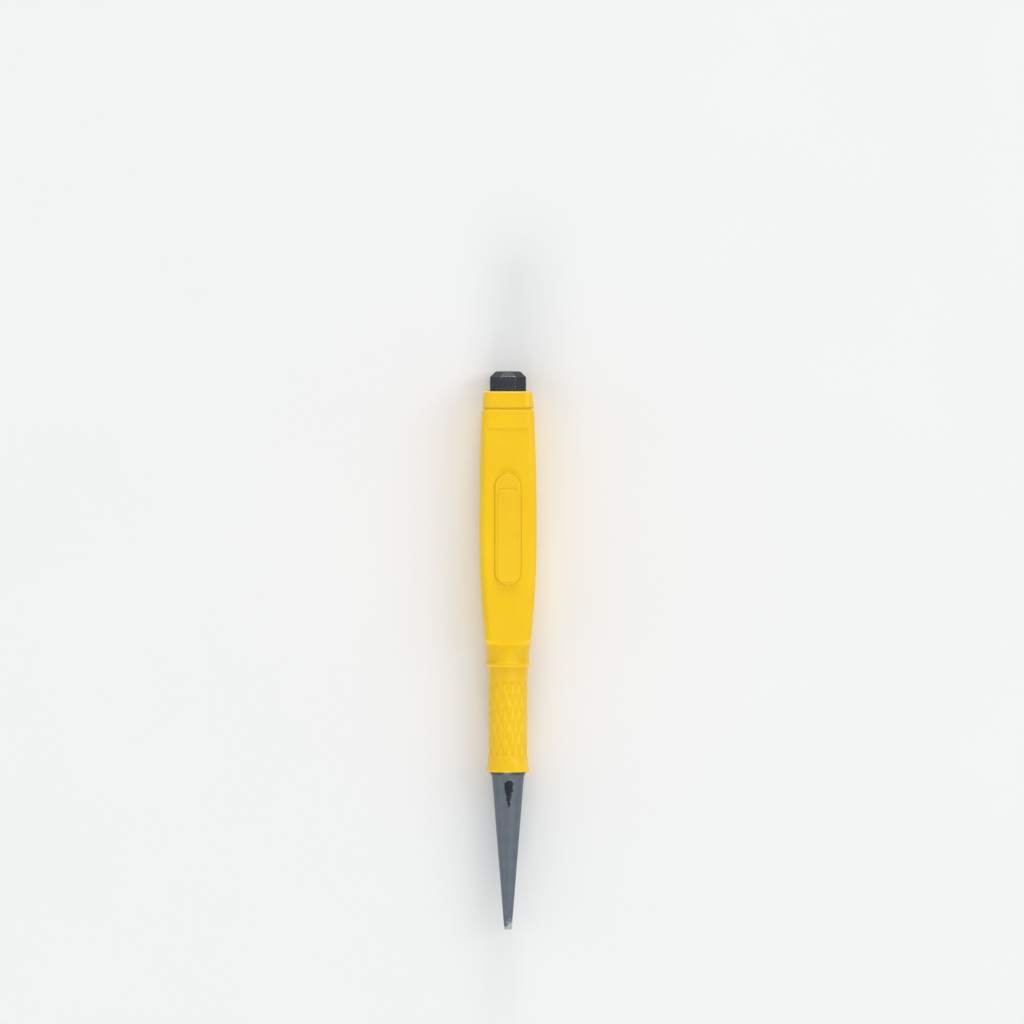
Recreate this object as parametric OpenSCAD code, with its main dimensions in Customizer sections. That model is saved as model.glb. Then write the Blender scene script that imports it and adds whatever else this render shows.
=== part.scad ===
// Nail setter: a hardened steel punch in a two-shot moulded handle.
// It lies on its back: tip towards -Y, striking head towards +Y, raised pad up.

/* [Steel punch] */
// Bare steel from the handle's rim to the tip
taper_length = 35.9; // [28:0.1:45]
// Diameter of the tip
tip_d = 1.7; // [1.2:0.1:4]
// Bevel round the tip's edge
tip_edge = 0.12; // [0.05:0.01:0.2]
// Diameter of the cup that holds the nail's head
cup_d = 0.8; // [0.5:0.1:0.9]
// Depth of the cup
cup_depth = 0.25; // [0.1:0.05:0.4]
// Diameter that the straight taper would reach at the rim
taper_top_d = 7.46; // [6:0.02:7.8]
// Diameter of the shoulder under the rim
shoulder_d = 8.35; // [8:0.05:8.6]
// Radius of the hollow flare from the taper to the shoulder
flare_r = 2.8; // [1.5:0.1:5]
// Diameter of the shank inside the handle
shank_d = 6.4; // [5.6:0.1:6.8]
// Distance across the two flats that stop the handle turning
shank_flats = 5.4; // [4.6:0.1:5.5]
// Length of those flats
shank_flats_length = 32; // [20:1:44]
// Distance across the flats of the octagonal head
head_flats = 8.2; // [7.4:0.1:9.4]
// Height of the head above the handle
head_height = 4.6; // [3.4:0.1:7]
// Bevel round the striking face
head_bevel = 1.3; // [0.6:0.1:1.8]

/* [Handle core] */
// Diameter of the neck, and of the tube that carries on under the grip
core_d = 8.9; // [8.5:0.1:9.4]
// Length of the neck, from the rim to the grip
neck_length = 23.8; // [21:0.1:32]
// Plain neck between the grip and the diamond pattern
neck_plain = 3.1; // [1.5:0.1:4]
// Length of the diamond pattern
knurl_length = 17; // [10:0.1:17]
// Depth of the diamond pattern
knurl_depth = 0.2; // [0.1:0.02:0.4]
// How far the diamonds' crests lie below the plain neck
knurl_relief = 0.04; // [0.02:0.01:0.1]
// Diamonds round the neck
knurl_count = 14; // [10:1:20]
// Half diamonds along the neck
knurl_rows = 6; // [4:1:10]
// Diameter of the rim above the steel
rim_d = 9.9; // [9.6:0.1:11]
// Height of the rim and of the sweep up to the neck
rim_height = 3.4; // [2.4:0.1:3.6]
// Rounding of the rim's lower edge
rim_round = 0.6; // [0.3:0.1:0.7]
// Height of the end collar under the head
collar_height = 3.7; // [2.5:0.1:6]
// Width of the collar under the head
collar_top_w = 11; // [10.2:0.1:11.4]
// Width of the collar at the groove
collar_base_w = 11.7; // [11.4:0.1:12.4]
// Depth of the collar under the head, front to back
collar_top_depth = 10.8; // [10.2:0.1:11.2]
// Depth of the collar at the groove, front to back
collar_base_depth = 11.5; // [11.2:0.1:11.9]
// Rounding of the collar's upper edge
collar_edge = 0.5; // [0.2:0.1:0.6]
// Width of the groove between the collar and the grip
groove_width = 0.5; // [0.4:0.1:1.2]
// Depth of that groove
groove_depth = 0.4; // [0.3:0.05:0.7]
// Length of the raised pad
pad_length = 25.2; // [16:0.1:34]
// Width of the raised pad
pad_w = 5.9; // [4:0.1:7]
// Height of the pad above the front, where the front stands highest
pad_proud = 0.45; // [0.2:0.05:0.9]
// Distance from the grip's upper end down to the pad
pad_from_top = 14.5; // [8:0.1:20]
// Length of the bare name panel on the pad
panel_length = 20.6; // [8:0.1:20.8]
// Width of the bare name panel
panel_w = 4.6; // [2:0.1:5]
// Height of the name panel above the pad
panel_proud = 0.2; // [0.1:0.05:0.4]
// Corner radius of the name panel
panel_corner = 0.9; // [0.3:0.1:1]
// Distance from the pad's lower end up to the name panel
panel_from_end = 0.9; // [0.9:0.1:3]

/* [Soft grip] */
// Length of the grip, from its lip to the groove
grip_length = 58.5; // [50:0.5:80]
// Greatest width of the grip
grip_w = 13; // [12.4:0.1:16]
// Distance of that greatest width above the lip
crest_height = 30.3; // [24:0.1:34]
// Width of the grip at its upper end
grip_top_w = 11.85; // [11.5:0.05:12.2]
// Greatest depth of the grip, from its flat back to its front
grip_depth = 12; // [11.9:0.1:13.5]
// Fall of the barrelled front from its highest place to the upper end
front_top_fall = 0.3; // [0.1:0.1:0.5]
// Fall of the barrelled front from its highest place to the waist
front_foot_fall = 0.8; // [0.4:0.1:1.2]
// How far the front is let in below the band above it
front_step = 0.2; // [0.1:0.05:0.4]
// Height of the plain band above the let-in front
band_height = 4.1; // [2:0.1:8]
// Corner radius of the grip's section
grip_corner = 2.2; // [1.6:0.1:3.4]
// Rounding of the grip's upper edge
grip_edge = 0.3; // [0.2:0.1:0.8]
// Width of the waist above the lip
waist_w = 9.6; // [9.5:0.1:10.4]
// Height of the waist above the grip's lower end
waist_height = 2.8; // [2.4:0.1:3.6]
// Height of the round ring below the square part
ring_height = 5.2; // [4:0.1:8]
// How far the ring lies inside the square part's sides
ring_step = 0.15; // [0.05:0.05:0.4]
// Slope of the turned shoulder above the ring, from the tool's axis
ring_slope = 60; // [40:1:75]
// Diameter of the lip
lip_d = 10; // [9.9:0.1:11]
// Radius of the lip's rounding
lip_round = 0.85; // [0.6:0.05:1.1]

/* [Fits] */
// Clearance between the moulded pieces
mould_gap = 0.05; // [0.02:0.01:0.1]

/* [Hidden] */
$fn = 64;
overrun = 0.5;
arc_steps = 10;
corner_steps = 8;
barrel_steps = 18;

// Heights along the tool, from the tip
rim_s = taper_length;
grip_s = rim_s + neck_length;
grip_top_s = grip_s + grip_length;
collar_s = grip_top_s + groove_width;
core_top_s = collar_s + collar_height;
overall_length = core_top_s + head_height;
knurl_top_s = grip_s - neck_plain;
knurl_s = knurl_top_s - knurl_length;
waist_s = grip_s + waist_height;
ring_s = grip_s + ring_height;
crest_s = grip_s + crest_height;
band_s = grip_top_s - band_height;
pad_top_s = grip_top_s - pad_from_top;
pad_s = pad_top_s - pad_length;
panel_s = pad_s + panel_from_end;
flats_s = (grip_s + grip_top_s - shank_flats_length) / 2;

// Half sizes
tip_r = tip_d / 2;
core_r = core_d / 2;
shoulder_r = shoulder_d / 2;
front_y = grip_depth / 2;
axis_height = front_y;

// The grip's corner radius, limited by the walls it rounds
corner_r = min(grip_corner, waist_w / 2);

// Heights of the rings that the barrelled part is skinned over
barrel_rings = [for (i = [0:barrel_steps - 1])
    let (first = ring_s - overrun)
    first + (grip_top_s - grip_edge - first) * i / barrel_steps];

// Lays the upright tool down on its back, centred over the origin
module lay_down() {
    translate([0, -overall_length / 2, axis_height])
        rotate([-90, 0, 0])
            children();
}

// Points of an arc from angle a to angle b
function arc(cx, cy, r, a, b) =
    [for (i = [0:arc_steps]) let (t = a + (b - a) * i / arc_steps) [cx + r * cos(t), cy + r * sin(t)]];

// Fall of a round arc at a distance from its crest, for an arc that falls by fall over run
function arc_fall(distance, run, fall) =
    let (r = (run * run + fall * fall) / (2 * fall))
    r - sqrt(r * r - distance * distance);

// Half width of the grip: one arc up from the crest and a tighter one down to the waist
function grip_half_w(s) =
    s >= crest_s
        ? grip_w / 2 - arc_fall(s - crest_s, grip_top_s - crest_s, (grip_w - grip_top_w) / 2)
        : grip_w / 2 - arc_fall(crest_s - s, crest_s - waist_s, (grip_w - waist_w) / 2);

// Distance of the grip's let-in front from the axis, barrelled like the sides
function grip_front(s) =
    s >= crest_s
        ? front_y - arc_fall(s - crest_s, grip_top_s - crest_s, front_top_fall)
        : front_y - arc_fall(crest_s - s, crest_s - waist_s, front_foot_fall);

// One ring of a rounded rectangle at height s, with its front and back at their own distances
function box_ring(half_w, front, back, r, s) =
    [for (k = [0:3]) for (i = [0:corner_steps])
        let (
            a = 90 * (k + i / corner_steps),
            cx = (k == 0 || k == 3 ? 1 : -1) * (half_w - r),
            cy = k < 2 ? back - r : r - front
        )
        [cx + r * cos(a), cy + r * sin(a), s]];

// A quarter-round upper edge of radius e on a rounded rectangle that ends at height s
function edge_rings(half_w, front, back, r, e, s) =
    [for (i = [0:arc_steps / 2])
        let (
            a = 180 * i / arc_steps,
            inset = e * (1 - cos(a))
        )
        box_ring(half_w - inset, front - inset, back - inset, r - inset, s - e + e * sin(a))];

// A closed skin over rings of equal length, with diagonals that alternate
module skin(rings) {
    n = len(rings[0]);
    last = len(rings) - 1;
    sides = [for (j = [0:last - 1]) for (i = [0:n - 1])
        let (
            a = j * n + i,
            b = j * n + (i + 1) % n,
            c = a + n,
            d = b + n
        )
        each (i + j) % 2 == 1 ? [[a, c, d], [a, d, b]] : [[a, c, b], [b, c, d]]];
    bottom = [for (i = [0:n - 1]) i];
    top = [for (i = [n - 1:-1:0]) last * n + i];
    polyhedron([for (ring = rings) each ring], concat([bottom, top], sides));
}

// An outline on the front of the handle, pushed forward from depth back to depth front
module raise_from_front(front, back) {
    translate([0, -back, 0])
        rotate([90, 0, 0])
            linear_extrude(front - back)
                children();
}

// A bar with two round ends that starts at height s
module stadium(w, length, s) {
    translate([-w / 2, s + w / 2])
        square([w, length - w]);
    for (end = [s + w / 2, s + length - w / 2])
        translate([0, end])
            circle(d = w);
}

// A rectangle with round corners that starts at height s
module rounded_panel(w, length, r, s) {
    translate([-w / 2, s + r])
        square([w, length - 2 * r]);
    translate([-w / 2 + r, s])
        square([w - 2 * r, length]);
    for (side = [-1, 1], end = [s + r, s + length - r])
        translate([side * (w / 2 - r), end])
            circle(r);
}

// Outline of the bare steel: cup, tip, straight taper, flare and shoulder
function taper_outline() =
    let (
        cup_r = cup_d / 2,
        dish_r = (cup_r * cup_r + cup_depth * cup_depth) / (2 * cup_depth),
        dish = [for (i = [0:arc_steps])
            let (x = cup_r * i / arc_steps)
            [x, cup_depth - dish_r + sqrt(dish_r * dish_r - x * x)]],
        a = atan((taper_top_d - tip_d) / 2 / rim_s),
        b = a + acos(1 - (shoulder_d - taper_top_d) / 2 * cos(a) / flare_r),
        flare = [for (i = [0:arc_steps])
            let (t = a + (b - a) * i / arc_steps)
            [shoulder_r - flare_r * (cos(t) - cos(b)), rim_s - flare_r * (sin(b) - sin(t))]]
    )
    concat(dish, [[tip_r - tip_edge, 0], [tip_r + tip_edge * tan(a), tip_edge]], flare, [[0, rim_s]]);

// The hidden shank, grown by gap for the bore that is moulded round it
module shank(gap) {
    r = shank_d / 2 + gap;
    flat_x = shank_flats / 2 + gap;
    difference() {
        translate([0, 0, rim_s])
            cylinder(r = r, h = core_top_s - rim_s);
        for (side = [-1, 1])
            translate([side * (flat_x + r) - r, -2 * r, flats_s + gap])
                cube([2 * r, 4 * r, shank_flats_length - 2 * gap]);
    }
}

// The octagonal head: one bevelled profile, crossed at each eighth of a turn
module head() {
    half = head_flats / 2;
    profile = [
        [-half, 0], [half, 0],
        [half, head_height - head_bevel], [half - head_bevel, head_height],
        [head_bevel - half, head_height], [-half, head_height - head_bevel]
    ];
    translate([0, 0, core_top_s])
        intersection_for (turn = [0:45:135])
            rotate([90, 0, turn])
                linear_extrude(2 * head_flats, center = true)
                    polygon(profile);
}

module steel_punch() {
    color("#636d75")
        lay_down() {
            rotate_extrude()
                polygon(taper_outline());
            shank(0);
            head();
        }
}

// The diamond pattern: crests and crossings change places from row to row
module knurl() {
    points = 2 * knurl_count;
    crest_r = core_r - knurl_relief;
    rings = [for (j = [0:knurl_rows + 2])
        let (
            row = max(1, min(j, knurl_rows + 1)),
            end = j == 0 ? -overrun : j == knurl_rows + 2 ? overrun : 0,
            s = knurl_s + knurl_length * (row - 1) / knurl_rows + end
        )
        [for (i = [0:points - 1])
            let (
                a = 360 * i / points,
                r = crest_r - ((i + row) % 2 == 0 ? 0 : knurl_depth)
            )
            [r * cos(a), r * sin(a), s]]];
    skin(rings);
}

// The rim: a round lower edge and a hollow sweep up to the plain neck
module rim() {
    top_s = rim_s + rim_height;
    edge_r = rim_d / 2;
    sweep_s = rim_s + rim_round;
    run = top_s - sweep_s;
    rise = edge_r - core_r;
    sweep = [for (i = [0:arc_steps])
        let (s = sweep_s + run * i / arc_steps)
        [core_r + arc_fall(top_s - s, run, rise), s]];
    rotate_extrude()
        polygon(concat(
            [[0, rim_s]],
            arc(edge_r - rim_round, sweep_s, rim_round, -90, 0),
            sweep,
            [[core_r, knurl_s], [0, knurl_s]]
        ));
}

// The end collar, square with round corners, and the floor of the groove below it
module collar() {
    base = [collar_base_w / 2, collar_base_depth / 2];
    tip = [collar_top_w / 2, collar_top_depth / 2];
    skin(concat(
        [box_ring(base.x, base.y, base.y, corner_r, collar_s)],
        edge_rings(tip.x, tip.y, tip.y, corner_r, collar_edge, core_top_s)
    ));
    floor = [base.x - groove_depth, base.y - groove_depth];
    skin([for (s = [grip_top_s, collar_s + overrun])
        box_ring(floor.x, floor.y, floor.y, corner_r - groove_depth, s)]);
}

module handle_core() {
    pad_y = front_y + pad_proud;
    color("#f2c40f")
        lay_down()
            difference() {
                union() {
                    rim();
                    knurl();
                    translate([0, 0, knurl_top_s])
                        cylinder(r = core_r, h = grip_top_s - knurl_top_s);
                    collar();
                    raise_from_front(pad_y, 0)
                        stadium(pad_w, pad_length, pad_s);
                    raise_from_front(pad_y + panel_proud, 0)
                        rounded_panel(panel_w, panel_length, panel_corner, panel_s);
                }
                shank(mould_gap);
            }
}

// The square, barrelled part of the grip, at the level of the band all the way down
module barrel() {
    back = front_y + front_step;
    top_front = grip_front(grip_top_s) + front_step;
    skin(concat(
        [for (s = barrel_rings)
            box_ring(grip_half_w(s), grip_front(s) + front_step, back, corner_r, s)],
        edge_rings(grip_top_w / 2, top_front, back, corner_r, grip_edge, grip_top_s)
    ));
}

// Everything ahead of the let-in front, up to the band
module front_cut() {
    face = [for (s = concat([for (s = barrel_rings) if (s < band_s) s], [band_s])) [-grip_front(s), s]];
    rotate([90, 0, 90])
        linear_extrude(2 * grip_w, center = true)
            polygon(concat(face, [[-grip_w, band_s], [-grip_w, barrel_rings[0]]]));
}

// The turned lower end: lip, waist and ring
module lower_ring() {
    waist_r = waist_w / 2;
    lip_x = lip_d / 2 - lip_round;
    lip_end = acos((waist_r - lip_x) / lip_round);
    outline = [for (i = [0:arc_steps])
        let (s = waist_s + (ring_s - waist_s) * i / arc_steps)
        [grip_half_w(s) - ring_step * i / arc_steps, s]];
    rotate_extrude()
        polygon(concat(
            [[0, grip_s]],
            arc(lip_x, grip_s + lip_round, lip_round, -90, lip_end),
            outline,
            [[0, ring_s]]
        ));
}

// Everything inside the turned shoulder that ends the square part
module shoulder_cone() {
    ring_r = grip_half_w(ring_s) - ring_step;
    wide_r = grip_w;
    rotate_extrude()
        polygon([
            [0, ring_s], [ring_r, ring_s],
            [wide_r, ring_s + (wide_r - ring_r) / tan(ring_slope)],
            [wide_r, grip_top_s + overrun], [0, grip_top_s + overrun]
        ]);
}

module soft_grip() {
    run = grip_length + 2 * overrun;
    color("#f6c912")
        lay_down()
            difference() {
                union() {
                    intersection() {
                        barrel();
                        shoulder_cone();
                    }
                    lower_ring();
                }
                translate([-grip_w, front_y, grip_s - overrun])
                    cube([2 * grip_w, grip_w, run]);
                front_cut();
                translate([0, 0, grip_s - overrun])
                    cylinder(r = core_r + mould_gap, h = run);
                raise_from_front(grip_w, 0)
                    stadium(pad_w + 2 * mould_gap, pad_length + 2 * mould_gap, pad_s - mould_gap);
            }
}

steel_punch();
handle_core();
soft_grip();
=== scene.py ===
import math

import bmesh
import bpy
import numpy as np
from mathutils import Matrix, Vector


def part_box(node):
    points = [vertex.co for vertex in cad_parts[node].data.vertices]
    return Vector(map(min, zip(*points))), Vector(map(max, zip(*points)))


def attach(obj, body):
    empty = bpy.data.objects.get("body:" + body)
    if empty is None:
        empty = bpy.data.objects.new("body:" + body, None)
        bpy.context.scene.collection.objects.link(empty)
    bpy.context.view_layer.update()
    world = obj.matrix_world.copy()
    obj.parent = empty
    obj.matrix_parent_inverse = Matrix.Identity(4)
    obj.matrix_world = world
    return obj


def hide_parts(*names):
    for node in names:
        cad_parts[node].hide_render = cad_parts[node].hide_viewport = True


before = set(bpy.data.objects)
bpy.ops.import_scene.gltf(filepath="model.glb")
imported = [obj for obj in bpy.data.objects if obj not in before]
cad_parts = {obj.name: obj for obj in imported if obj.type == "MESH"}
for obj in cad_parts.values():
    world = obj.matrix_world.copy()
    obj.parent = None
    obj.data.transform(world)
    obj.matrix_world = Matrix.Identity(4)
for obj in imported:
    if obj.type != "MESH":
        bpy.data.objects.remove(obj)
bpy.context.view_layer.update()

# The tool is modelled in millimetres: x across it, y along it from the tip, z up from its axis.
# lay_in_frame() then sets a finished mesh into the frame, in metres.
MM = 0.001
steel_low, steel_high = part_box("steel_punch")
core_low, core_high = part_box("handle_core")
_, grip_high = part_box("soft_grip")
axis_height = (steel_low.z + steel_high.z) / 2 / MM
half_length = (steel_high.y - steel_low.y) / 2 / MM


def station(y):
    """Distance from the tip, in millimetres, of a place in the frame."""
    return y / MM + half_length


# Stations along the tool, from the solids
overall_length = station(steel_high.y)
rim_s = station(core_low.y)
core_top_s = station(core_high.y)
grip_top_s = station(grip_high.y)

# Steel punch
tip_d = 1.7
tip_edge = 0.12
cup_d = 0.8
cup_depth = 0.25
taper_top_d = 7.46
shoulder_d = 8.35
flare_r = 2.8
shank_d = 6.4
shank_flats = 5.4
shank_flats_length = 32.0
head_sides = 8
head_flats = 8.2
head_bevel = 1.3
head_corner_round = 0.22
head_edge_round = 0.3
face_edge_round = 0.35
corner_rub_share = 0.6

# Handle core
core_d = 8.9
neck_plain = 3.1
knurl_length = 17.0
knurl_depth = 0.2
knurl_relief = 0.04
knurl_count = 14
knurl_rows = 6
knurl_cell_steps = 10
knurl_groove_share = 0.12
knurl_flank_share = 0.34
knurl_top_share = 0.35
rim_d = 9.9
rim_height = 3.4
rim_round = 0.6
neck_edge_round = 0.05
collar_top_w = 11.0
collar_base_w = 11.7
collar_top_depth = 10.8
collar_base_depth = 11.5
collar_edge = 0.5
groove_width = 0.5
groove_depth = 0.4
pad_length = 25.2
pad_w = 5.9
pad_proud = 0.45
pad_edge = 0.25
pad_from_top = 14.5
panel_length = 20.6
panel_w = 4.6
panel_proud = 0.2
panel_corner = 0.9
panel_edge = 0.12
panel_from_end = 0.9

# Soft grip
grip_length = 58.5
grip_w = 13.0
crest_height = 30.3
grip_top_w = 11.85
grip_depth = 12.0
front_top_fall = 0.3
front_foot_fall = 0.8
front_step = 0.2
step_run = 0.12
band_height = 4.1
grip_corner = 2.2
grip_edge = 0.3
waist_w = 9.6
waist_height = 2.8
ring_height = 5.2
ring_step = 0.15
ring_slope = math.radians(60)
shoulder_round = 0.14
shoulder_hollow = 0.1
flat_round = 0.16
shoulder_lead = 0.2
shoulder_run = 1.6
lip_d = 10.0
lip_round = 0.85
lip_hollow = 0.2
lip_start_angle = 0.12
lip_end_angle = math.pi * 0.78
window_edge = 0.08
seam_gap = 0.012
groove_edge = 0.12
mould_gap = 0.05

# Stations that follow from those sizes
grip_s = grip_top_s - grip_length
knurl_top_s = grip_s - neck_plain
knurl_s = knurl_top_s - knurl_length
waist_s = grip_s + waist_height
ring_s = grip_s + ring_height
crest_s = grip_s + crest_height
band_s = grip_top_s - band_height
pad_top_s = grip_top_s - pad_from_top
pad_s = pad_top_s - pad_length
panel_s = pad_s + panel_from_end
collar_s = grip_top_s + groove_width
flats_s = (grip_s + grip_top_s - shank_flats_length) / 2
front_z = grip_depth / 2
core_r = core_d / 2
bore_r = shank_d / 2 + mould_gap
overrun = 0.5

# How finely the meshes are cut
around = knurl_count * knurl_cell_steps
arc_steps = 8
taper_steps = 11
head_side_steps = 6
head_bend_steps = 6
corner_steps = 14
flat_steps = 26
lip_steps = 21
waist_steps = 11
shoulder_steps = 45
barrel_steps = 59
step_steps = 21
band_steps = 9

# How close points are when they become one, in millimetres, and turns in radians
merge_gap = 0.0001
band_merge_gap = 0.001
cut_merge_gap = 0.002
thin_edge = 0.001
turn_slack = 0.0001
sharp_turn = math.radians(32)

# Yellow finishes: colours, gloss, and the sizes of their patterns in millimetres
yellow_drift = 14.0
yellow_pigment = 0.5
yellow_handling = 5.0
hard_light = (0.92, 0.575, 0.004, 1)
hard_deep = (0.865, 0.525, 0.003, 1)
hard_roughness = 0.27
hard_shine = 0.28
hard_grain = 0.16
hard_grain_depth = 0.003
soft_light = (0.935, 0.585, 0.004, 1)
soft_deep = (0.885, 0.54, 0.003, 1)
soft_roughness = 0.42
soft_shine = 0.25
soft_grain = 0.22
soft_grain_depth = 0.01
plastic_ior = 1.5

# Steel finish, in the same way, with a painted shadow under the rim, and the places of its painted dark
# reflection patch and of its bright tip, whose lean to the right is a painted highlight
oxide_light = (0.142, 0.17, 0.198, 1)
oxide_deep = (0.108, 0.132, 0.157, 1)
head_oxide = (0.016, 0.019, 0.024, 1)
# Colour of the painted dark reflection patch
painted_dark_reflection = (0.012, 0.013, 0.015, 1)
# Colour of the painted shadow under the rim
painted_rim_shadow = (0.022, 0.028, 0.04, 1)
bare_steel = (0.56, 0.55, 0.53, 1)
turning_pitch = 0.09
turning_stretch = 0.05
turning_depth = 0.008
oxide_cloud = 2.4
oxide_speck = 0.35
oxide_fray = 0.72
# Where the painted shadow under the rim starts and where it is full, in millimetres below the rim
painted_rim_shadow_start = 1.0
painted_rim_shadow_full = 0.2
patch_foot = 27.9
patch_top = 34.0
patch_half_w = 1.35
patch_x = 0.15
patch_foot_share = 0.15
patch_round_share = 0.22
patch_fray = 1.9
patch_blur = 0.15
bright_tip_length = 1.3
bright_tip_blur = 0.3
# Lean of the bright tip towards the right: a painted highlight
painted_highlight_lean = 0.8
bright_tip_fray = 3.0
bright_tip_speck = 4.0

# Camera: pixels of the photograph, and its distance above the axis in millimetres
photo_size = 1024
photo_tip_row = 929.5
photo_head_row = 371.5
photo_axis_column = 508.0
camera_height = 1500.0

# Stage, in metres and watts, with the drift of the floor's tone in millimetres
floor_half = 6.0
fade_start = 0.35
fade_end = 1.6
floor_gap = 0.00002
floor_light = (0.88, 0.88, 0.875, 1)
floor_deep = (0.86, 0.86, 0.855, 1)
floor_tone = 40.0
floor_roughness = 0.9
floor_shine = 0.1
surround_colour = (0.97, 0.985, 1.0, 1)
surround_strength = 0.6
seen_surround_strength = 0.9
# Soft boxes: name, place, width, height and power
soft_boxes = [
    ("overhead_strip", (1.25, 0.25, 3.1), 0.4, 2.25, 9.5),
    ("right_box", (2.75, 0.75, 2.25), 1.0, 2.0, 20.0),
    ("left_box", (-3.0, 0.25, 2.0), 1.25, 2.25, 9.0),
    ("head_box", (0.25, 3.5, 0.85), 1.25, 0.75, 66.0),
    ("tip_box", (-0.25, -3.5, 1.1), 1.5, 0.6, 58.0),
]


class Field:
    """A number that varies over a surface. Arithmetic on it adds math nodes to its tree."""

    def __init__(self, tree, socket):
        self.tree = tree
        self.socket = socket

    def math(self, operation, *values):
        node = self.tree.nodes.new("ShaderNodeMath")
        node.operation = operation
        for socket, value in zip(node.inputs, (self, *values)):
            feed(self.tree, socket, value)
        return Field(self.tree, node.outputs[0])

    def __add__(self, other):
        return self.math("ADD", other)

    def __sub__(self, other):
        return self.math("SUBTRACT", other)

    def __mul__(self, other):
        return self.math("MULTIPLY", other)

    def __truediv__(self, other):
        return self.math("DIVIDE", other)

    def __neg__(self):
        return self.math("MULTIPLY", -1.0)

    def least(self, other, rounding=0.0):
        return self.math("SMOOTH_MIN", other, rounding)

    def most(self, other, rounding=0.0):
        return self.math("SMOOTH_MAX", other, rounding)

    def within(self, low, high):
        return self.most(low).least(high)

    def above(self, other):
        return self.math("GREATER_THAN", other)

    def root(self):
        return self.math("SQRT")

    def squared(self):
        return self * self

    def rise(self, start, end):
        """A smooth step from 0 at start to 1 at end."""
        node = add_node(self.tree, "ShaderNodeMapRange", {"interpolation_type": "SMOOTHSTEP"},
                        Value=self, From_Min=start, From_Max=end)
        return Field(self.tree, node.outputs["Result"])


def feed(tree, socket, value):
    """Sets a socket to a plain value, or links it to a field or to another socket."""
    if isinstance(value, Field):
        tree.links.new(value.socket, socket)
    elif isinstance(value, bpy.types.NodeSocket):
        tree.links.new(value, socket)
    else:
        socket.default_value = value


def add_node(tree, kind, settings=None, **sockets):
    """A new node with its settings, and with its sockets fed by name."""
    node = tree.nodes.new(kind)
    for name, value in (settings or {}).items():
        setattr(node, name, value)
    for name, value in sockets.items():
        feed(tree, node.inputs[name.replace("_", " ")], value)
    return node


def coordinates(tree, vector):
    """The x, y and z of a vector as fields."""
    parts = add_node(tree, "ShaderNodeSeparateXYZ", Vector=vector)
    return [Field(tree, parts.outputs[axis]) for axis in "XYZ"]


def joined(tree, x, y, z):
    """A vector from three fields or numbers."""
    return add_node(tree, "ShaderNodeCombineXYZ", X=x, Y=y, Z=z).outputs["Vector"]


# Meshes from rings

def mesh_object(name, mesh):
    made = bpy.data.objects.new(name, mesh)
    bpy.context.scene.collection.objects.link(made)
    return made


def loft(rings, rubbed=None):
    """A mesh over rings of equal length, in order. A ring of no size becomes a pole.
    rubbed says, for each point of each ring, how much its edge is rubbed bare."""
    count = len(rings[0])
    shape = bmesh.new()
    mark = shape.verts.layers.float.new("rubbed_edge") if rubbed else None
    rows = [[shape.verts.new(point) for point in ring] for ring in rings]
    if rubbed:
        for row, values in zip(rows, rubbed):
            for corner, value in zip(row, values):
                corner[mark] = value
    for low, high in zip(rows, rows[1:]):
        for i in range(count):
            j = (i + 1) % count
            shape.faces.new((low[i], low[j], high[j], high[i]))
    return shape


def finished(shape, name):
    """A plain mesh with its doubles merged and its faces turned outwards."""
    bmesh.ops.remove_doubles(shape, verts=shape.verts, dist=merge_gap)
    bmesh.ops.recalc_face_normals(shape, faces=shape.faces)
    mesh = bpy.data.meshes.new(name)
    shape.to_mesh(mesh)
    shape.free()
    return mesh


def closed_solid(rings, name):
    """A solid over rings, with flat faces over the first and the last."""
    shape = loft(rings)
    shape.verts.ensure_lookup_table()
    count = len(rings[0])
    shape.faces.new(shape.verts[:count])
    shape.faces.new(shape.verts[-count:])
    return finished(shape, name)


def made_plain(holder):
    """The plain mesh of an object after its modifiers. The object goes."""
    graph = bpy.context.evaluated_depsgraph_get()
    mesh = bpy.data.meshes.new_from_object(holder.evaluated_get(graph))
    bpy.data.objects.remove(holder)
    return mesh


ring_angles = np.linspace(0, 2 * math.pi, around, endpoint=False)


def turned_ring(radius, s, angles=ring_angles):
    """A ring round the axis, from the front round to the right."""
    return np.column_stack([radius * np.sin(angles), np.full(len(angles), s), radius * np.cos(angles)])


def square_ring(half_w, half_d, corner, s):
    """A ring of a rounded rectangle, cut by the same rays as a turned ring."""
    across, up = np.abs(np.sin(ring_angles)), np.abs(np.cos(ring_angles))
    cx, cz = half_w - corner, half_d - corner
    flat = np.minimum(half_w / np.maximum(across, 1e-9), half_d / np.maximum(up, 1e-9))
    off_ray = cx * up - cz * across
    bend = cx * across + cz * up + np.sqrt(np.maximum(corner**2 - off_ray**2, 0))
    on_bend = (flat * across > cx) & (flat * up > cz)
    return turned_ring(np.where(on_bend, bend, flat), s)


def arc(cx, cy, radius, start, end):
    """Points of an arc between two angles in degrees."""
    return [(cx + radius * math.cos(math.radians(a)), cy + radius * math.sin(math.radians(a)))
            for a in np.linspace(start, end, arc_steps + 1)]


def stretch(start, end, steps):
    """Even steps from start, which is left out, to end."""
    return np.linspace(start, end, steps + 1)[1:]


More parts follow.
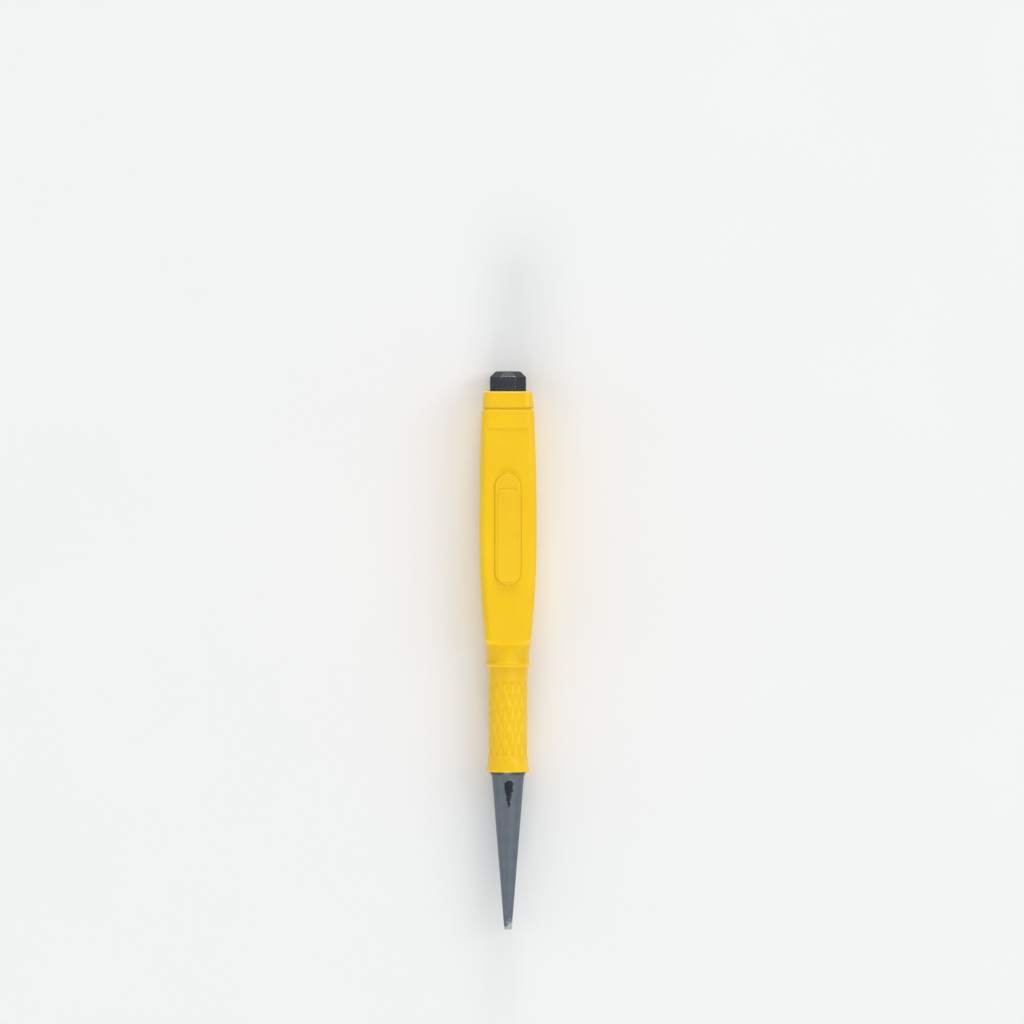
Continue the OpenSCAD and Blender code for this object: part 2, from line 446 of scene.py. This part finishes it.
def rounded(corners):
    """An open outline whose corners, each (across, along, radius), are rounded.
    Its points are (across, along, bend), where bend is 1 in the middle of a rounding."""
    points = [np.array(corner[:2], float) for corner in corners]
    outline = [(*points[0], 0.0)]
    for before, here, after, corner in zip(points, points[1:], points[2:], corners[1:]):
        radius = corner[2]
        back = (before - here) / np.linalg.norm(before - here)
        on = (after - here) / np.linalg.norm(after - here)
        half_angle = math.acos(back @ on) / 2
        middle = here + (back + on) / np.linalg.norm(back + on) * radius / math.sin(half_angle)
        first = here + back * radius / math.tan(half_angle) - middle
        last = here + on * radius / math.tan(half_angle) - middle
        for t in np.linspace(0, 1, arc_steps // 2 + 1):
            spoke = first * (1 - t) + last * t
            outline.append((*(middle + spoke / np.linalg.norm(spoke) * radius), math.sin(math.pi * t)))
    return outline + [(*points[-1], 0.0)]


def lay_in_frame(mesh):
    """Sets a mesh from the tool's own millimetres into the frame."""
    mesh.transform(Matrix.Scale(MM, 4) @ Matrix.Translation((0, -half_length, axis_height)))


def smoothed(mesh):
    """The mesh shaded smooth, with flat faces that stay flat next to their roundings."""
    mesh.shade_smooth()
    mesh.set_sharp_from_angle(angle=sharp_turn)
    holder = mesh_object(mesh.name, mesh)
    weigh = holder.modifiers.new("weigh", "WEIGHTED_NORMAL")
    weigh.keep_sharp = True
    return made_plain(holder)


def show(name, mesh, node, finish):
    """Makes a finished mesh a piece that stands for a node."""
    lay_in_frame(mesh)
    mesh.materials.clear()
    mesh.materials.append(finish)
    piece = mesh_object(name, smoothed(mesh))
    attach(piece, "root")
    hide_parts(node)


def carved(name, mesh, operation, *tools):
    """A mesh joined with, or cut by, other meshes, without the slivers that this leaves."""
    body = mesh_object(name, mesh)
    helpers = []
    for tool in tools:
        helper = mesh_object(tool.name, tool)
        step = body.modifiers.new(tool.name, "BOOLEAN")
        step.operation = operation
        step.solver = "EXACT"
        step.object = helper
        helpers.append(helper)
    result = made_plain(body)
    for helper in helpers:
        bpy.data.objects.remove(helper)
    shape = bmesh.new()
    shape.from_mesh(result)
    bmesh.ops.remove_doubles(shape, verts=shape.verts, dist=cut_merge_gap)
    bmesh.ops.dissolve_degenerate(shape, edges=shape.edges, dist=thin_edge)
    shape.to_mesh(result)
    shape.free()
    return result


# Geometry node trees

def rule_tree(name, sizes):
    """A tree with a named input for each size. Returns it, its incoming geometry and its sizes as fields."""
    tree = bpy.data.node_groups.new(name, "GeometryNodeTree")
    tree.interface.new_socket("Geometry", in_out="INPUT", socket_type="NodeSocketGeometry")
    for label, value in sizes.items():
        kind = "NodeSocketInt" if isinstance(value, int) else "NodeSocketFloat"
        tree.interface.new_socket(label, in_out="INPUT", socket_type=kind)
    tree.interface.new_socket("Geometry", in_out="OUTPUT", socket_type="NodeSocketGeometry")
    inside = tree.nodes.new("NodeGroupInput")
    fields = {label: Field(tree, inside.outputs[label]) for label in sizes}
    return tree, inside.outputs["Geometry"], fields


def end_tree(tree, geometry, finish):
    """Ends a tree in plain geometry with its material."""
    real = add_node(tree, "GeometryNodeRealizeInstances", Geometry=geometry)
    coloured = add_node(tree, "GeometryNodeSetMaterial", Geometry=real.outputs["Geometry"], Material=finish)
    out = tree.nodes.new("NodeGroupOutput")
    tree.links.new(coloured.outputs["Geometry"], out.inputs["Geometry"])


def run_tree(tree, mesh, sizes):
    """The plain mesh that a tree makes from a mesh at the given sizes."""
    base = mesh_object(tree.name, mesh)
    modifier = base.modifiers.new(tree.name, "NODES")
    modifier.node_group = tree
    for socket in tree.interface.items_tree:
        if socket.name in sizes:
            modifier[socket.identifier] = sizes[socket.name]
    return made_plain(base)


# Materials

def new_finish(name):
    """An empty material. Returns it, its tree, its shader and its object coordinates."""
    finish = bpy.data.materials.new(name)
    finish.use_nodes = True
    tree = finish.node_tree
    shader = tree.nodes["Principled BSDF"]
    place = tree.nodes.new("ShaderNodeTexCoord").outputs["Object"]
    return finish, tree, shader, place


def stretched(tree, place, x=1.0, y=1.0, z=1.0):
    """Coordinates multiplied along each axis, so that a pattern runs one way."""
    return add_node(tree, "ShaderNodeMapping", Vector=place, Scale=(x, y, z)).outputs["Vector"]


def noise(tree, place, size, detail=2.0, roughness=0.5):
    """Cloudy noise, from 0 to 1, whose features have this size in millimetres."""
    node = add_node(tree, "ShaderNodeTexNoise", Vector=place, Scale=1 / (size * MM), Detail=detail,
                    Roughness=roughness)
    return Field(tree, node.outputs["Fac"])


def mixed(tree, share, low, high):
    """A colour between two others."""
    node = add_node(tree, "ShaderNodeMix", {"data_type": "RGBA"})
    feed(tree, node.inputs["Factor"], share)
    for socket, value in zip([s for s in node.inputs if s.type == "RGBA"], (low, high)):
        feed(tree, socket, value)
    return next(s for s in node.outputs if s.type == "RGBA")


def bumped(tree, shader, height, depth):
    """Raises a surface by a height from 0 to 1, over a depth in millimetres."""
    bump = add_node(tree, "ShaderNodeBump", Height=height, Distance=depth * MM, Strength=1.0)
    feed(tree, shader.inputs["Normal"], bump.outputs["Normal"])


def moulded_yellow(name, light, deep, roughness, shine, grain, grain_depth):
    """Coloured plastic: slow drift and fine pigment in its colour, and the grain of the mould."""
    finish, tree, shader, place = new_finish(name)
    drift = noise(tree, place, yellow_drift)
    pigment = noise(tree, place, yellow_pigment, 3.0)
    blend = (drift * 0.6 + pigment * 0.4).rise(0.3, 0.7)
    feed(tree, shader.inputs["Base Color"], mixed(tree, blend, deep, light))
    handling = noise(tree, place, yellow_handling, 4.0)
    fine = noise(tree, place, grain, 2.0)
    feed(tree, shader.inputs["Roughness"], handling * 0.08 + fine * 0.06 + (roughness - 0.07))
    shader.inputs["IOR"].default_value = plastic_ior
    shader.inputs["Specular IOR Level"].default_value = shine
    bumped(tree, shader, fine, grain_depth)
    return finish


def blackened_steel():
    """Turned steel with a black oxide coat, with a painted dark reflection in one drop-shaped patch under the
    shoulder and a painted shadow just under the rim. Bare where the tip was ground, with a painted highlight
    in its lean to the right, and where edges rub."""
    finish, tree, shader, place = new_finish("blackened_steel")
    x, y, z = coordinates(tree, place)
    x, s, z = x / MM, y / MM + half_length, z / MM - axis_height
    round_tool = stretched(tree, place, turning_stretch, 1.0, turning_stretch)
    turning = noise(tree, round_tool, turning_pitch, 3.0)
    cloud = noise(tree, place, oxide_cloud, 4.0)
    speck = noise(tree, place, oxide_speck, 3.0)
    coat = mixed(tree, (cloud * 0.45 + turning * 0.55).rise(0.25, 0.75), oxide_deep, oxide_light)
    on_head = s.above(core_top_s - overrun)
    coat = mixed(tree, on_head * 0.88, coat, head_oxide)
    # Painted shadow: the coat darkens towards the rim's lower edge, standing for the rim's shadow on the
    # steel
    rim_shadow_mask = s.rise(rim_s - painted_rim_shadow_start, rim_s - painted_rim_shadow_full) * (-s).above(-rim_s - overrun)
    coat = mixed(tree, rim_shadow_mask * 0.7, coat, painted_rim_shadow)

    # The painted dark reflection: a patch, darker and more metallic than the coat, that widens from its foot
    # and closes in a round top
    up_patch = (s - patch_foot) / (patch_top - patch_foot)
    closing = (up_patch - (1.0 - patch_round_share)).most(0.0) / patch_round_share
    widening = up_patch * (1.0 - patch_foot_share) + patch_foot_share
    patch_reach = widening * (-closing.squared() + 1.0).most(0.0).root() * patch_half_w
    frayed = noise(tree, place, oxide_fray, 4.0, 0.7)
    into_patch = patch_reach - (x - patch_x).math("ABSOLUTE") + (frayed - 0.5) * patch_fray
    on_patch = up_patch.above(0.0) * (-up_patch).above(-1.0) * z.above(0.0)
    patch = into_patch.rise(0.0, patch_blur) * on_patch
    coat = mixed(tree, patch * 0.85, coat, painted_dark_reflection)

    # Bare steel shows at the ground tip, which reaches further up on the right as a painted highlight, on
    # rubbed edges and in small nicks
    ragged = s - x * painted_highlight_lean + (frayed - 0.5) * bright_tip_fray + (speck - 0.5) * bright_tip_speck
    ground_tip_and_highlight = -ragged.rise(bright_tip_length - bright_tip_blur, bright_tip_length + bright_tip_blur) + 1.0
    rub = add_node(tree, "ShaderNodeAttribute", {"attribute_name": "rubbed_edge"}).outputs["Fac"]
    worn = Field(tree, rub) * (speck * 0.8 + cloud * 0.8).rise(0.7, 1.1)
    nicks = speck.rise(0.68, 0.73)
    bare = (ground_tip_and_highlight * 0.85).most(worn * 0.3).most(nicks * 0.4)
    feed(tree, shader.inputs["Base Color"], mixed(tree, bare, coat, bare_steel))
    feed(tree, shader.inputs["Metallic"], bare * 0.35 + patch * 0.4 + 0.6)
    feed(tree, shader.inputs["Roughness"], turning * 0.12 + cloud * 0.1 - bare * 0.08 - on_head * 0.1 + 0.28)
    bumped(tree, shader, turning * 0.7 + speck * 0.3, turning_depth)
    return finish


# Pieces

def octagon_ring(half, s):
    """A ring of the octagonal head, with a flat towards the front, and how rubbed its corners are."""
    corner_round = min(head_corner_round, half)
    half_side = math.pi / head_sides
    reach = (half - corner_round) / math.cos(half_side)
    edge = (half - corner_round) * math.tan(half_side)
    points, rubbed = [], []
    for side in range(head_sides):
        middle = 2 * half_side * side
        for share in np.linspace(-1, 1, head_side_steps + 2)[1:-1]:
            x = edge * share
            points.append((half * math.sin(middle) + x * math.cos(middle), s,
                           half * math.cos(middle) - x * math.sin(middle)))
            rubbed.append(0.0)
        corner = middle + half_side
        for share in np.linspace(-1, 1, head_bend_steps):
            spoke = corner + share * half_side
            points.append((reach * math.sin(corner) + corner_round * math.sin(spoke), s,
                           reach * math.cos(corner) + corner_round * math.cos(spoke)))
            rubbed.append(math.cos(share * math.pi / 2))
    return points, rubbed


def clipped(ring, half):
    """A ring cut by two flats at its sides."""
    return np.clip(ring, (-half, -np.inf, -np.inf), (half, np.inf, np.inf))


def shank_rings(gap, angles):
    """The shank up to the head, with the two flats that stop the handle turning."""
    r, half = shank_d / 2 + gap, shank_flats / 2 + gap
    low, high = flats_s + gap, flats_s + shank_flats_length - gap
    round_low, round_high = turned_ring(r, low, angles), turned_ring(r, high, angles)
    return [turned_ring(r, rim_s, angles), round_low, clipped(round_low, half), clipped(round_high, half),
            round_high, turned_ring(r, core_top_s, angles)]


def taper_outline():
    """The bare steel from the middle of the cup to the shoulder, as (radius, station)."""
    cup_r = cup_d / 2
    dish_r = (cup_r**2 + cup_depth**2) / (2 * cup_depth)
    dish = [(x, cup_depth - dish_r + math.sqrt(dish_r**2 - x**2))
            for x in np.linspace(0, cup_r, arc_steps + 1)]
    lean = math.atan((taper_top_d - tip_d) / 2 / rim_s)
    flare_end = lean + math.acos(1 - (shoulder_d - taper_top_d) / 2 * math.cos(lean) / flare_r)
    flare = [(shoulder_d / 2 - flare_r * (math.cos(a) - math.cos(flare_end)),
              rim_s - flare_r * (math.sin(flare_end) - math.sin(a)))
             for a in np.linspace(lean, flare_end, arc_steps + 1)]
    tip = [(tip_d / 2 - tip_edge, 0.0), (tip_d / 2 + tip_edge * math.tan(lean), tip_edge)]
    (low_r, low_s), (high_r, high_s) = tip[-1], flare[0]
    taper = [(low_r + (high_r - low_r) * t, low_s + (high_s - low_s) * t)
             for t in np.linspace(0, 1, taper_steps + 1)[1:-1]]
    return dish + tip + taper + flare


def steel_punch():
    """The hardened bar: cup, taper and shoulder, hidden shank, and the octagonal head with its bevel."""
    count = head_sides * (head_side_steps + head_bend_steps)
    angles = np.linspace(0, 2 * math.pi, count, endpoint=False)
    rings = [turned_ring(r, s, angles) for r, s in taper_outline()] + shank_rings(0, angles)
    rubbed = [[0.0] * count] * len(rings)
    half = head_flats / 2
    for half_width, s, bend in rounded([
        (0.0, core_top_s, 0),
        (half, core_top_s, tip_edge),
        (half, overall_length - head_bevel, head_edge_round),
        (half - head_bevel, overall_length, face_edge_round),
        (0.0, overall_length, 0),
    ])[1:]:
        ring, corners = octagon_ring(half_width, s)
        rings.append(ring)
        beside_face = s < overall_length - merge_gap
        rubbed.append([max(bend, corner * corner_rub_share * beside_face) for corner in corners])
    mesh = finished(loft(rings, rubbed), "punch_bar")
    show("punch_bar", mesh, "steel_punch", blackened_steel())


def diamond_band(finish):
    """The diamond pattern of the neck: one raised diamond, set out in staggered rows and wrapped round."""
    sizes = {
        "Diamonds round": knurl_count,
        "Half rows": knurl_rows,
        "Cell points": knurl_cell_steps + 1,
        "Start": knurl_s,
        "Length": knurl_length,
        "Crest radius": core_r - knurl_relief,
        "Depth": knurl_depth,
    }
    tree, _, size = rule_tree("diamond_band", sizes)
    place = tree.nodes.new("GeometryNodeInputPosition").outputs["Position"]
    x, y, z = coordinates(tree, place)
    width, row_height = 1.0, size["Length"] / size["Half rows"]

    # One diamond: a grid turned on its corner, cut across, with flanks that fall to the grooves
    grid = add_node(tree, "GeometryNodeMeshGrid", Size_X=1.0, Size_Y=1.0,
                    Vertices_X=size["Cell points"], Vertices_Y=size["Cell points"])
    split = add_node(tree, "GeometryNodeTriangulate", {"quad_method": "FIXED_ALTERNATE"},
                     Mesh=grid.outputs["Mesh"])
    to_groove = (-x.math("ABSOLUTE") + 0.5).least(-y.math("ABSOLUTE") + 0.5, knurl_groove_share)
    pillow = (to_groove / knurl_flank_share).least(1.0, knurl_top_share) - 1.0
    on_corner = joined(tree, (x - y) * (width / 2), (x + y) * row_height, pillow * size["Depth"])
    diamond = add_node(tree, "GeometryNodeSetPosition", Geometry=split.outputs["Mesh"], Position=on_corner)

    # Their places: every other row stands half a diamond along
    lattice = add_node(tree, "GeometryNodeMeshGrid",
                       Size_X=size["Diamonds round"] - 1.0, Size_Y=size["Half rows"],
                       Vertices_X=size["Diamonds round"], Vertices_Y=size["Half rows"] + 1.0)
    row = (y + size["Half rows"] / 2.0).math("ROUND")
    stagger = (row + 1.0).math("MODULO", 2.0) * (width / 2)
    places = add_node(tree, "GeometryNodeSetPosition", Geometry=lattice.outputs["Mesh"],
                      Position=joined(tree, x + stagger, row * row_height, 0.0))
    spread = add_node(tree, "GeometryNodeInstanceOnPoints", Points=places.outputs["Geometry"],
                      Instance=diamond.outputs["Geometry"])
    sheet = add_node(tree, "GeometryNodeRealizeInstances", Geometry=spread.outputs["Instances"])

    # The sheet is trimmed at both ends and wrapped round the neck
    outside = (-y).most(y - size["Length"]).above(0.0)
    trimmed = add_node(tree, "GeometryNodeDeleteGeometry", {"domain": "FACE"},
                       Geometry=sheet.outputs["Geometry"], Selection=outside)
    angle = x / size["Diamonds round"] * (2 * math.pi)
    radius = size["Crest radius"] + z
    round_neck = joined(tree, radius * angle.math("SINE"), y + size["Start"], radius * angle.math("COSINE"))
    wrapped = add_node(tree, "GeometryNodeSetPosition", Geometry=trimmed.outputs["Geometry"],
                       Position=round_neck)
    closed = add_node(tree, "GeometryNodeMergeByDistance", Geometry=wrapped.outputs["Geometry"],
                      Distance=band_merge_gap)
    end_tree(tree, closed.outputs["Geometry"], finish)
    return run_tree(tree, bpy.data.meshes.new("diamond_band"), sizes)


def end_ring(mesh, s):
    """The points of a band's end at a station, in the order of a turned ring."""
    points = np.array([v.co for v in mesh.vertices])
    ring = points[np.abs(points[:, 1] - s) < band_merge_gap]
    turn = np.arctan2(ring[:, 0], ring[:, 2]) + turn_slack
    return ring[np.argsort(turn % (2 * math.pi))]


def arc_fall(distance, run, fall):
    """Fall of a round arc at a distance from its crest, for an arc that falls by fall over run."""
    r = (run**2 + fall**2) / (2 * fall)
    return r - np.sqrt(r**2 - distance**2)


def rim_rings():
    """The rim above the steel: a round lower edge and a hollow sweep up to the neck."""
    edge_r, sweep_s, top_s = rim_d / 2, rim_s + rim_round, rim_s + rim_height
    outline = arc(edge_r - rim_round, sweep_s, rim_round, -90, 0)
    outline += [(core_r + arc_fall(top_s - s, top_s - sweep_s, edge_r - core_r), s)
                for s in stretch(sweep_s, top_s, arc_steps)]
    return [turned_ring(r, s) for r, s in outline]


def collar_rings():
    """The floor of the groove and the end collar above it, square with round corners."""
    base = np.array([collar_base_w, collar_base_depth]) / 2
    top = np.array([collar_top_w, collar_top_depth]) / 2
    floor = base - groove_depth
    rings = [square_ring(*floor, grip_corner - groove_depth, s) for s in (grip_top_s, collar_s)]
    for inset, s, _ in rounded([
        (groove_depth, collar_s, 0),
        (0.0, collar_s, groove_edge),
        ((base - top)[0], core_top_s, collar_edge),
        (groove_depth * 3, core_top_s, 0),
    ])[1:-1]:
        rings.append(square_ring(*(base - inset), grip_corner - inset / 2, s))
    return rings


def stadium_ring(half_w, low_s, high_s, z):
    """A ring of a bar with two round ends, on the front of the handle."""
    bend = np.linspace(0, math.pi, 3 * arc_steps + 1)
    top = np.column_stack([half_w * np.cos(bend), high_s - half_w + half_w * np.sin(bend)])
    bottom = np.column_stack([-half_w * np.cos(bend), low_s + half_w - half_w * np.sin(bend)])
    outline = np.vstack([top, bottom])
    return np.column_stack([outline, np.full(len(outline), z)])


def panel_ring(inset, z):
    """A ring of the bare panel on the pad, drawn in by inset."""
    outline = []
    low, high = panel_s + panel_corner, panel_s + panel_length - panel_corner
    side = panel_w / 2 - panel_corner
    for start, x, s in ((0, side, high), (90, -side, high), (180, -side, low), (270, side, low)):
        outline += arc(x, s, panel_corner - inset, start, start + 90)
    return [(x, s, z) for x, s in outline]


def edged_solid(name, ring, foot_z, top_z, edge):
    """A solid over ring(inset, height) with a rounded upper edge."""
    rings = [ring(0.0, foot_z)] + [ring(edge - x, z) for x, z in arc(0, top_z - edge, edge, 0, 90)]
    return closed_solid(rings, name)


def handle_core():
    """The hard moulding: rim, diamond-patterned neck, tube, collar, and the raised pad with its panel."""
    hard = moulded_yellow("hard_yellow_plastic", hard_light, hard_deep, hard_roughness, hard_shine,
                          hard_grain, hard_grain_depth)
    band = diamond_band(hard)
    rings = [
        end_ring(band, knurl_top_s),
        turned_ring(core_r - neck_edge_round, knurl_top_s),
        turned_ring(core_r, knurl_top_s + neck_edge_round),
        turned_ring(core_r, grip_s),
        turned_ring(core_r, grip_top_s),
        *collar_rings(),
        *reversed(shank_rings(mould_gap, ring_angles)),
        *rim_rings(),
        turned_ring(core_r, knurl_s - neck_edge_round),
        turned_ring(core_r - neck_edge_round, knurl_s),
        end_ring(band, knurl_s),
    ]
    shape = loft(rings)
    shape.from_mesh(band)
    pad_z = front_z + pad_proud
    pad = edged_solid(
        "raised_pad",
        lambda inset, z: stadium_ring(pad_w / 2 - inset, pad_s + inset, pad_top_s - inset, z),
        bore_r + mould_gap, pad_z, pad_edge)
    panel = edged_solid("bare_panel", panel_ring, front_z, pad_z + panel_proud, panel_edge)
    mesh = carved("handle_moulding", finished(shape, "handle_moulding"), "UNION", pad, panel)
    show("handle_moulding", mesh, "handle_core", hard)


def box_tube(stations):
    """A straight tube of rounded squares, 4 across with corners of radius 1, with a ring at each station."""
    outline = []
    for quarter in range(4):
        turn = quarter * math.pi / 2
        cos, sin = math.cos(turn), math.sin(turn)
        side = [(2.0, y) for y in stretch(-1, 1, flat_steps)]
        bend = [(1 + math.cos(a), 1 + math.sin(a)) for a in stretch(0, math.pi / 2, corner_steps)]
        outline += [(x * cos - y * sin, x * sin + y * cos) for x, y in side + bend]
    rings = [[(x, s, z) for x, z in outline] for s in stations]
    return closed_solid(rings, "box_tube")


def grip_stations():
    """Where the grip's rings lie: closely at its lip, shoulder, step and upper edge."""
    lip = grip_s + lip_round * (1 - np.cos(np.linspace(lip_start_angle, lip_end_angle, lip_steps + 1)))
    top = grip_top_s - grip_edge + grip_edge * np.sin(np.linspace(0, math.pi / 2, arc_steps + 1))
    shoulder_start, shoulder_end = ring_s - shoulder_lead, ring_s + shoulder_run
    step_start, step_end = band_s - 2 * step_run, band_s + 2 * step_run
    return np.concatenate([
        lip,
        stretch(lip[-1], shoulder_start, waist_steps),
        stretch(shoulder_start, shoulder_end, shoulder_steps),
        stretch(shoulder_end, step_start, barrel_steps),
        stretch(step_start, step_end, step_steps),
        stretch(step_end, top[0], band_steps),
        top[1:],
    ])


def grip_form(finish):
    """The grip's outside: a barrelled square, drawn in to a turned shoulder, ring, waist and lip."""
    sizes = {
        "Greatest width": grip_w,
        "Top width": grip_top_w,
        "Waist width": waist_w,
        "Half depth": front_z,
        "Front top fall": front_top_fall,
        "Front foot fall": front_foot_fall,
        "Front step": front_step,
        "Corner radius": grip_corner,
        "Edge radius": grip_edge,
        "Lip width": lip_d,
        "Lip radius": lip_round,
        "Lower end": grip_s,
        "Waist": waist_s,
        "Ring": ring_s,
        "Crest": crest_s,
        "Band": band_s,
        "Upper end": grip_top_s,
        "Ring step": ring_step,
        "Shoulder rise": math.tan(ring_slope),
    }
    tree, tube, size = rule_tree("grip_form", sizes)
    place = tree.nodes.new("GeometryNodeInputPosition").outputs["Position"]
    x, s, z = coordinates(tree, place)

    def fall(distance, run, depth):
        radius = (run.squared() + depth.squared()) / (depth * 2.0)
        return radius - (radius.squared() - distance.squared()).most(0.0).root()

    # Sides and front are barrelled: one arc up from the crest and a tighter one down to the waist.
    # Below the ring they are let out, so that only the turned part counts there.
    waist_fall = (size["Greatest width"] - size["Waist width"]) / 2.0
    top_fall = (size["Greatest width"] - size["Top width"]) / 2.0
    up_run, down_run = size["Upper end"] - size["Crest"], size["Crest"] - size["Waist"]
    up, down = (s - size["Crest"]).most(0.0), (size["Crest"] - s).most(0.0)
    half_w = size["Greatest width"] / 2.0 - fall(up, up_run, top_fall) - fall(down, down_run, waist_fall)
    let_out = (size["Ring"] - s).most(0.0)
    front = size["Half depth"] - fall(up, up_run, size["Front top fall"]) - fall(
        down, down_run, size["Front foot fall"]) + let_out

    # The upper edge draws the section in
    over_edge = (s - size["Upper end"] + size["Edge radius"]).most(0.0)
    inset = size["Edge radius"] - (size["Edge radius"].squared() - over_edge.squared()).most(0.0).root()
    corner = size["Corner radius"] - inset
    reach_w = half_w + let_out - size["Corner radius"]
    to_face = size["Front step"] - size["Corner radius"]
    bx, bz = x.within(-1.0, 1.0), z.within(-1.0, 1.0)
    px = bx * reach_w + (x - bx) * corner
    pz = bz.most(0.0) * (front + to_face) + bz.least(0.0) * (size["Half depth"] + to_face) + (z - bz) * corner

    # The back is cut flat all the way up, and the front is let in as far as the band
    on_band = s.rise(size["Band"] - step_run / 2, size["Band"] + step_run / 2)
    let_in = front + on_band * (size["Front step"] * 2.0)
    pz = pz.most(-size["Half depth"], flat_round).least(let_in, flat_round)

    # The turned part below the shoulder
    lip_middle = size["Lower end"] + size["Lip radius"]
    lip = size["Lip width"] / 2.0 - size["Lip radius"] + (
        size["Lip radius"].squared() - (s - lip_middle).squared()).most(0.0).root()
    ring_share = ((s - size["Waist"]) / (size["Ring"] - size["Waist"])).within(0.0, 1.0)
    below_ring = half_w.most(size["Waist width"] / 2.0) - ring_share * size["Ring step"]
    ring = (below_ring * s.above(lip_middle)).most(lip, lip_hollow)
    ring_end = size["Greatest width"] / 2.0 - fall(
        size["Crest"] - size["Ring"], down_run, waist_fall) - size["Ring step"]
    cone = ring_end + (s - size["Ring"]) * size["Shoulder rise"]
    turned = ring.most(cone, shoulder_hollow)
    reach = (px.squared() + pz.squared()).root()
    share = reach.least(turned, shoulder_round) / reach
    form = add_node(tree, "GeometryNodeSetPosition", Geometry=tube,
                    Position=joined(tree, px * share, s, pz * share))
    end_tree(tree, form.outputs["Geometry"], finish)
    return run_tree(tree, box_tube(grip_stations()), sizes)


def grip_front(s):
    """Height of the grip's let-in front over the axis, by station."""
    up = arc_fall(np.maximum(s - crest_s, 0), grip_top_s - crest_s, front_top_fall)
    down = arc_fall(np.maximum(crest_s - s, 0), crest_s - waist_s, front_foot_fall)
    return front_z - up - down


def soft_grip():
    """The soft sleeve over the core, with its bore and the window that the pad looks through."""
    bore_ends = (grip_s - overrun, grip_top_s + overrun)
    bore = closed_solid([turned_ring(core_r + mould_gap, s) for s in bore_ends], "grip_bore")
    rings = [stadium_ring(pad_w / 2 + seam_gap, pad_s - seam_gap, pad_top_s + seam_gap, overrun)]
    for out, rise in arc(seam_gap + window_edge, -window_edge, window_edge, 180, 100):
        ring = stadium_ring(pad_w / 2 + out, pad_s - out, pad_top_s + out, rise)
        ring[:, 2] += grip_front(ring[:, 1])
        rings.append(ring)
    rings.append(rings[-1] + np.array([0, 0, overrun]))
    window = closed_solid(rings, "pad_window")
    soft = moulded_yellow("soft_yellow_rubber", soft_light, soft_deep, soft_roughness, soft_shine,
                          soft_grain, soft_grain_depth)
    mesh = carved("grip_sleeve", grip_form(soft), "DIFFERENCE", bore, window)
    show("grip_sleeve", mesh, "soft_grip", soft)


# Stage

def camera():
    """Straight above the tool, as the photograph was taken, with the tool at its place in the picture."""
    scale = overall_length / (photo_tip_row - photo_head_row)
    x = (photo_size / 2 - photo_axis_column) * scale
    s = (photo_tip_row - photo_size / 2) * scale
    eye = bpy.data.cameras.new("camera")
    eye.lens = eye.sensor_width * camera_height / (photo_size * scale)
    seat = bpy.data.objects.new("camera", eye)
    seat.location = (x * MM, (s - half_length) * MM, (axis_height + camera_height) * MM)
    bpy.context.scene.collection.objects.link(seat)
    bpy.context.scene.camera = seat


def soft_lamp(name, place, width, height, power):
    """A soft box aimed at the middle of the tool."""
    lamp = bpy.data.lights.new(name, "AREA")
    lamp.shape = "RECTANGLE"
    lamp.size = width
    lamp.size_y = height
    lamp.energy = power
    holder = bpy.data.objects.new(name, lamp)
    holder.location = place
    holder.rotation_euler = (-holder.location).to_track_quat("-Z", "Y").to_euler()
    bpy.context.scene.collection.objects.link(holder)


def seen_directly(tree):
    """1 where the camera, a reflection or a clear body looks, and 0 where a surface is only lit."""
    ray = tree.nodes.new("ShaderNodeLightPath").outputs
    seen = Field(tree, ray["Is Camera Ray"])
    for kind in ("Is Glossy Ray", "Is Transmission Ray"):
        seen = seen.math("MAXIMUM", ray[kind])
    return seen


def pale_floor():
    """A matt pale floor that fades into the surround away from the tool."""
    finish, tree, shader, place = new_finish("pale_floor")
    tone = noise(tree, place, floor_tone, 3.0)
    feed(tree, shader.inputs["Base Color"], mixed(tree, tone, floor_deep, floor_light))
    shader.inputs["Roughness"].default_value = floor_roughness
    shader.inputs["Specular IOR Level"].default_value = floor_shine
    x, y, _ = coordinates(tree, place)
    far = (x.squared() + y.squared()).root().rise(fade_start, fade_end)
    haze = add_node(tree, "ShaderNodeEmission", Color=surround_colour, Strength=seen_surround_strength)
    blend = tree.nodes.new("ShaderNodeMixShader")
    for socket, value in zip(blend.inputs, (far * seen_directly(tree), shader.outputs[0], haze.outputs[0])):
        feed(tree, socket, value)
    feed(tree, tree.nodes["Material Output"].inputs["Surface"], blend.outputs[0])
    return finish


def studio():
    """A pale floor, soft boxes and an even pale surround."""
    shape = bmesh.new()
    bmesh.ops.create_grid(shape, x_segments=1, y_segments=1, size=floor_half)
    bmesh.ops.translate(shape, verts=shape.verts, vec=(0, 0, -floor_gap))
    mesh = bpy.data.meshes.new("floor")
    shape.to_mesh(mesh)
    mesh.materials.append(pale_floor())
    mesh_object("floor", mesh)
    for lamp in soft_boxes:
        soft_lamp(*lamp)
    world = bpy.data.worlds.new("surround")
    world.use_nodes = True
    sky = world.node_tree.nodes["Background"]
    sky.inputs["Color"].default_value = surround_colour
    feed(world.node_tree, sky.inputs["Strength"],
         seen_directly(world.node_tree) * (seen_surround_strength - surround_strength) + surround_strength)
    bpy.context.scene.world = world
    bpy.context.scene.view_settings.view_transform = "Standard"


camera()
studio()
steel_punch()
handle_core()
soft_grip()
